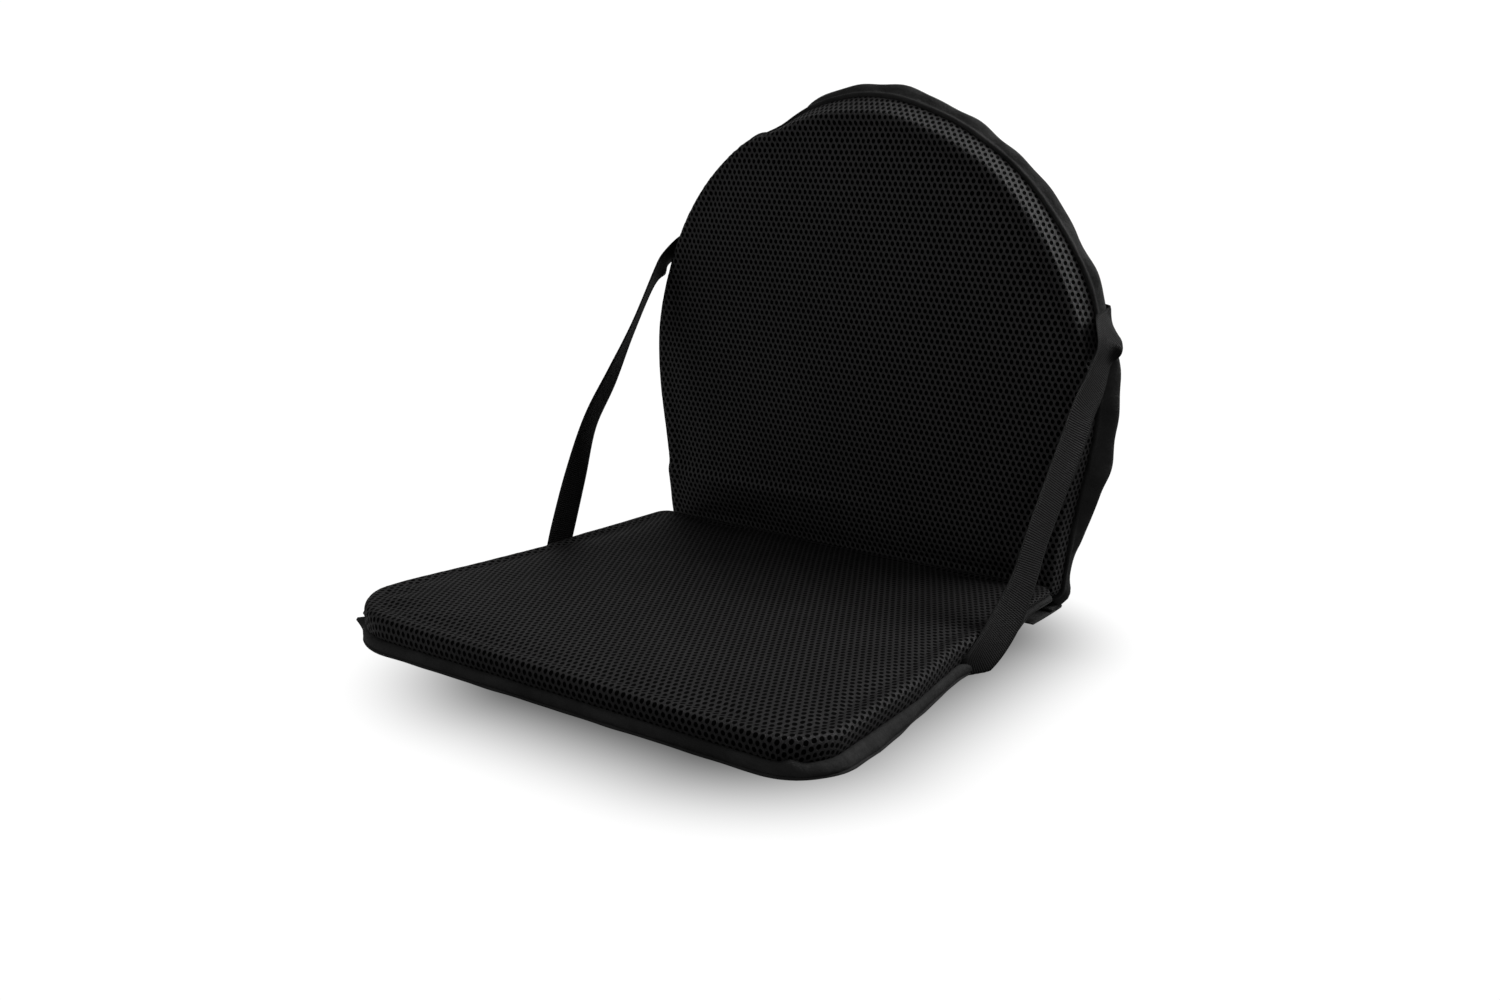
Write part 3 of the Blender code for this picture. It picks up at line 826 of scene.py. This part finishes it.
def ribbon(name, centre, across, s, mat, fold):
    """A flat strap on a centre line, its width along unit vectors, its section slightly bowed."""
    face = np.cross(np.gradient(centre, axis=0), across)
    face /= np.linalg.norm(face, axis=1)[:, None]
    us = np.linspace(-1, 1, 13)
    section = [(u, 1) for u in us] + [(u, -1) for u in us[::-1]]
    verts, uv = [], []
    for u, side in section:
        half = STRAP_THICK / 2 * (1 if abs(u) < 0.99 else 0.35)
        lift = side * half + fold * (1 - u * u)
        verts.append(centre + across * (u * STRAP_WIDE / 2) + face * lift[:, None])
        uv.append(np.column_stack([np.full(len(s), u * STRAP_WIDE / 2), s]))
    count, rows = len(section), len(s)
    verts = np.stack(verts, 1).reshape(-1, 3)
    verts[:, 2] = np.maximum(verts[:, 2], FLOOR_CLEAR)
    faces = ring_faces(rows, count)
    faces += [tuple(range(count))[::-1], tuple(range((rows - 1) * count, rows * count))]
    obj = mesh_object(name, verts, faces)
    set_vector(obj, "weave", np.stack(uv, 1).reshape(-1, 2))
    outward(obj)
    paint(obj, mat)
    return obj


def strap_frame(centre, s, twist, fold_at, crease_line):
    """Width directions carried along the centre line without spin, then turned by the twist."""
    tangent = np.gradient(centre, axis=0)
    tangent /= np.linalg.norm(tangent, axis=1)[:, None]
    across = np.zeros_like(centre)
    mid = len(centre) // 2
    across[mid] = np.cross([1, 0, 0], tangent[mid])
    for step in (1, -1):
        i = mid
        while 0 <= i + step < len(centre):
            v = across[i] - tangent[i + step] * (across[i] @ tangent[i + step])
            i += step
            across[i] = v / np.linalg.norm(v)
    across[mid] /= np.linalg.norm(across[mid])
    other = np.cross(tangent, across)
    across = across * np.cos(twist)[:, None] - other * np.sin(twist)[:, None]
    # on the rear of the back the strap lies flat
    flat = np.cross(tangent, [0, 1, 0])
    flat *= np.sign((flat * across).sum(1))[:, None] / np.linalg.norm(flat, axis=1)[:, None]
    lies = ease((centre[:, 1] - FACE_Y - 0.014) / 0.014)[:, None]
    across = across * (1 - lies) + flat * lies
    across -= tangent * (across * tangent).sum(1)[:, None]
    across /= np.linalg.norm(across, axis=1)[:, None]
    # it is folded over the rim along one straight line, which its width follows there
    line = np.array(crease_line, float) / np.linalg.norm(crease_line)
    line = line * np.sign(line @ across[fold_at])
    near = ease(1 - np.abs(s - s[fold_at]) / 0.026)[:, None]
    across = across + (line - across) * near
    across /= np.linalg.norm(across, axis=1)[:, None]
    return across / np.maximum(np.linalg.norm(np.cross(across, tangent), axis=1), 0.6)[:, None]


def make_strap(side, name, knots, fold_knot, crease_line, node):
    """One strap from the seat's side, over the rim at its fold knot, to the back's rear."""
    p, s = spline(np.array(knots, float) * [0.001, 0.001, 0.001, 1], STRAP_ROWS)
    centre = p[:, :3] + [0, FACE_Y, SEAT_TOP]
    fold_at = int(np.argmin(np.linalg.norm(p[:, :3] - np.array(knots[fold_knot][:3]) * 0.001, axis=1)))
    across = strap_frame(centre, s, np.radians(p[:, 3]), fold_at, crease_line)
    centre, across = centre * [side, 1, 1], across * [side, 1, 1]
    fold = 0.0010 * np.sin(s / s[-1] * np.pi * 2.0 + 0.6) * np.sin(s / s[-1] * np.pi)
    strap = ribbon(name, centre, across, s, STRAP_WEB, fold)
    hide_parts(node)
    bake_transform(strap)
    return centre, across


# The straps' knots: x, y behind the back's face and z above the seat's top in mm, then twist in degrees
NEAR = [(177, -156, -21.5, 0), (184, -148, -21, 4), (189, -133, -13, 22), (191, -110, 3, 32),
        (193.5, -92, 25, 22), (196.5, -76, 60, 17), (201, -44, 112, 22), (203.5, -31, 138, 19),
        (204.5, -15.5, 155, 14), (204, -2, 172, 6), (201.5, 12, 189.5, 0), (197.5, 25.5, 191.5, 0),
        (186, 29.8, 193.5, 0), (170, 29.8, 195, 0), (149, 29.8, 197, 0)]
FAR = [(179, -154, -22, 0), (185, -147, -21.5, 0), (189, -136, -14, -6), (189, -128, 8, -8),
       (189, -113, 47, -3), (190.5, -93, 88, 12), (191.9, -64, 122, 18), (193.5, -34, 160, 31),
       (193.5, -6.5, 199, 29), (191.5, 6, 212, 10), (188, 16, 222, 0), (186, 26, 224, 0),
       (176, 29.8, 228, 0), (160, 29.8, 232, 0), (140, 29.8, 237, 0)]
FOLD_KNOT = 10
near_line = make_strap(1, "strap_near", NEAR, FOLD_KNOT, (-0.70, 0, 0.72), "strap_left")
far_line = make_strap(-1, "strap_far", FAR, FOLD_KNOT, (-0.52, 0, 0.85), "strap_right")


STITCH_WIDE, STITCH_STAND = 0.00045, 0.00035


def stitches(name, runs, length, gap):
    """Rows of short threads on the back's rear, each run a polyline and its outward normal."""
    verts, faces = [], []
    for points, normal in runs:
        points = np.asarray(points, float)
        at = np.concatenate([[0], np.cumsum(np.linalg.norm(np.diff(points, axis=0), axis=1))])
        count = max(1, int(at[-1] / (length + gap)))
        for a in (np.arange(count) + 0.15) * at[-1] / count:
            p, q = (np.array([np.interp(v, at, points[:, k]) for k in range(3)]) for v in (a, a + length))
            along = (q - p) / np.linalg.norm(q - p)
            side, out = np.cross(along, normal) * STITCH_WIDE / 2, np.asarray(normal) * STITCH_STAND
            middle, base = (p + q) / 2, len(verts)
            verts += [p - out * 0.3, middle + side, middle + out, middle - side, q - out * 0.3]
            shape = ((0, 1, 2), (0, 2, 3), (4, 2, 1), (4, 3, 2), (0, 3, 4, 1))
            faces += [tuple(base + i for i in face) for face in shape]
    obj = mesh_object(name, verts, faces, smooth=False)
    outward(obj)
    paint(obj, THREAD)
    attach(obj, "back")


BOX_ROWS = (162, 178)     # the strap's cross-sections where its sewn box starts and ends
BOX_HALF = 0.0088


def box_stitch(line):
    """A sewn box with a cross in it on the flat end of a strap."""
    (centre, across), (start, end), half = line, BOX_ROWS, BOX_HALF
    corner = [centre[i] + across[i] / np.linalg.norm(across[i]) * h for i, h in
              ((start, half), (end, half), (end, -half), (start, -half))]
    normal = np.cross(centre[end] - centre[start], across[start])
    normal /= np.linalg.norm(normal)
    normal = normal * np.sign(normal[1])
    shift = normal * 0.0016
    box = [np.array([corner[i] + shift, corner[(i + 1) % 4] + shift]) for i in range(4)]
    box += [np.array([corner[i] + shift, corner[i + 2] + shift]) for i in (0, 1)]
    return [(run, normal) for run in box]


def make_stitches():
    """The seam round the back's rear and a sewn box on each strap's end."""
    rim = back_p - back_n * 0.0075
    ring = np.column_stack([rim[:, 0], np.full(N, FACE_Y + 0.0283), rim[:, 1]])
    stitches("rear_topstitch", [(np.vstack([ring, ring[:1]]), (0, 1, 0))], 0.0030, 0.0014)
    for name, line in (("near_box_stitch", near_line), ("far_box_stitch", far_line)):
        stitches(name, box_stitch(line), 0.0022, 0.0010)


make_stitches()


HINGE_HALF = 0.176
HINGE_COLUMNS = 81


def make_hinge():
    """The cloth between seat and back, folded in a flat pleat; its sides reach forward as small tabs."""
    y0, y1 = SEAT_REAR + 0.0030, FACE_Y + 0.0262
    knots = [(0, y0, 0.0012), (0, (y0 + y1) / 2, 0.0009), (0, y1, 0.0012), (0, y1 + 0.0012, 0.0020),
             (0, y1, 0.0027), (0, y0 + 0.012, 0.0025), (0, y0 + 0.0105, 0.0032), (0, y0 + 0.012, 0.0038),
             (0, y1 - 0.003, 0.0040), (0, y1 + 0.0010, 0.0052)]
    p, s = spline(knots, 60)
    xs = np.linspace(-HINGE_HALF, HINGE_HALF, HINGE_COLUMNS)
    tab = 0.024 * ease((np.abs(xs) - 0.148) / 0.014)
    normal = np.cross(np.gradient(p, axis=0), [1, 0, 0])
    normal /= np.linalg.norm(normal, axis=1)[:, None]
    verts, uv = [], []
    for side in (1, -1):
        for i, q in enumerate(p + normal * side * 0.0004):
            share = max(0.0, 1 - s[i] / (y1 - y0))
            row = np.column_stack([xs, q[1] - tab * share, np.full(HINGE_COLUMNS, q[2])])
            row[:, 2] += 0.00015 * np.sin(xs * 90 + i * 0.1)
            verts.append(row)
            uv.append(np.column_stack([xs, np.full(HINGE_COLUMNS, s[i])]))
    rows, across = len(p), HINGE_COLUMNS
    verts, uv = np.vstack(verts), np.vstack(uv)
    faces = ring_faces(rows, across, closed=False)
    off = rows * across
    faces += [tuple(v + off for v in f[::-1]) for f in faces]
    for i in range(rows - 1):
        for j in (0, across - 1):
            a, b = i * across + j, (i + 1) * across + j
            faces.append((a, b, b + off, a + off) if j else (a, a + off, b + off, b))
    for j in range(across - 1):
        faces.append((j, j + 1, j + 1 + off, j + off))
        a = (rows - 1) * across + j
        faces.append((a + 1, a, a + off, a + 1 + off))
    verts[:, 2] = np.maximum(verts[:, 2], FLOOR_CLEAR)
    obj = mesh_object("hinge_cloth", verts, faces)
    set_vector(obj, "weave", uv)
    outward(obj)
    paint(obj, BAND_CLOTH)
    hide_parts("hinge_strip")
    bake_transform(obj)


make_hinge()

# the board in the back stays the CAD's own solid
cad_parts["back_board"].data.materials.clear()
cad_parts["back_board"].data.materials.append(BOARD)


# ---------------------------------------------------------------- floor, light, camera
WHITE = 1.03                              # how bright the floor and the surroundings look
FLOOR_LIGHT, WORLD_LIGHT = 0.36, 0.28     # how much light they give
FLOOR_HALF = 6.0


def contact_floor():
    """A white floor whose soft contact shadow fades with the distance from under the seat.

    It glows, brighter to the camera than as a light, and the shadow is a dip in that glow."""
    n = Nodes("floor_white")
    place = n.add("ShaderNodeSeparateXYZ", {0: n.add("ShaderNodeNewGeometry").outputs["Position"]})
    gaps = []
    for axis, centre, half in ((0, 0.048, 0.064), (1, FACE_Y - 0.190, 0.110)):
        away = n.math("ABSOLUTE", n.math("SUBTRACT", place.outputs[axis], centre))
        gap = n.math("MAXIMUM", n.math("SUBTRACT", away, half), 0.0)
        gaps.append(n.math("MULTIPLY", gap, gap))
    distance = n.math("SQRT", n.math("ADD", *gaps))
    shade = n.ramp(distance, 0.030, 0.165, 0.05, 1.0)
    seen = n.add("ShaderNodeLightPath").outputs["Is Camera Ray"]
    glow = n.add("ShaderNodeMix", {0: seen, 2: FLOOR_LIGHT, 3: WHITE}, data_type="FLOAT").outputs[0]
    n.shader.inputs["Base Color"].default_value = (0, 0, 0, 1)
    n.shader.inputs["Specular IOR Level"].default_value = 0
    n.shader.inputs["Emission Color"].default_value = (1, 1, 1, 1)
    n.link(n.math("MULTIPLY", shade, glow), "Emission Strength")
    return n.mat


corners = [(x * FLOOR_HALF, y * FLOOR_HALF, 0) for x, y in ((-1, -1), (1, -1), (1, 1), (-1, 1))]
floor = mesh_object("floor", corners, [(0, 1, 2, 3)], False)
floor.data.materials.append(contact_floor())

scene = bpy.context.scene
scene.view_settings.view_transform = "Standard"
world = bpy.data.worlds.new("studio")
world.use_nodes = True
sky = world.node_tree.nodes["Background"]
sky.inputs[0].default_value = (1, 1, 1, 1)
eye = world.node_tree.nodes.new("ShaderNodeLightPath")
pick = world.node_tree.nodes.new("ShaderNodeMix")
pick.data_type = "FLOAT"
pick.inputs[2].default_value = WORLD_LIGHT
pick.inputs[3].default_value = WHITE
world.node_tree.links.new(eye.outputs["Is Camera Ray"], pick.inputs[0])
world.node_tree.links.new(pick.outputs[0], sky.inputs[1])
scene.world = world


def softbox(name, at, to, size, power):
    """A square area light at one place, turned to another."""
    light = bpy.data.lights.new(name, "AREA")
    light.shape = "RECTANGLE"
    light.size, light.size_y = size
    light.energy = power
    obj = bpy.data.objects.new(name, light)
    obj.location = at
    obj.rotation_euler = (Vector(to) - Vector(at)).to_track_quat("-Z", "Y").to_euler()
    obj.visible_camera = False
    scene.collection.objects.link(obj)


softbox("key_top", (0.5, 0.8, 2.0), (0, 0, 0.1), (1.5, 1.5), 34)
softbox("rim_right", (1.3, 1.1, 1.4), (0.1, 0.1, 0.2), (0.8, 0.8), 44)
softbox("front_fill", (1.1, -1.9, 0.8), (0, 0, 0.1), (1.3, 1.3), 12)
softbox("left_fill", (-1.5, -1.3, 0.7), (-0.15, 0, 0.15), (1.0, 1.0), 4)

LENS_MM = 34.3032
CAMERA_AT = (0.5650, FACE_Y - 0.9616, SEAT_TOP + 0.3115)
AZ, EL, ROLL = math.radians(34.447), math.radians(14.020), math.radians(1.377)
view = Vector((math.sin(AZ) * math.cos(EL), -math.cos(AZ) * math.cos(EL), math.sin(EL)))
right = Vector((math.cos(AZ), math.sin(AZ), 0))
up = view.cross(right)
cam_x = right * math.cos(ROLL) + up * math.sin(ROLL)
cam_y = up * math.cos(ROLL) - right * math.sin(ROLL)
camera = bpy.data.objects.new("camera", bpy.data.cameras.new("camera"))
camera.data.lens = LENS_MM
camera.data.clip_end = 60
camera.matrix_world = Matrix.Translation(CAMERA_AT) @ Matrix(
    (cam_x, cam_y, view)).transposed().to_4x4()
scene.collection.objects.link(camera)
scene.camera = camera
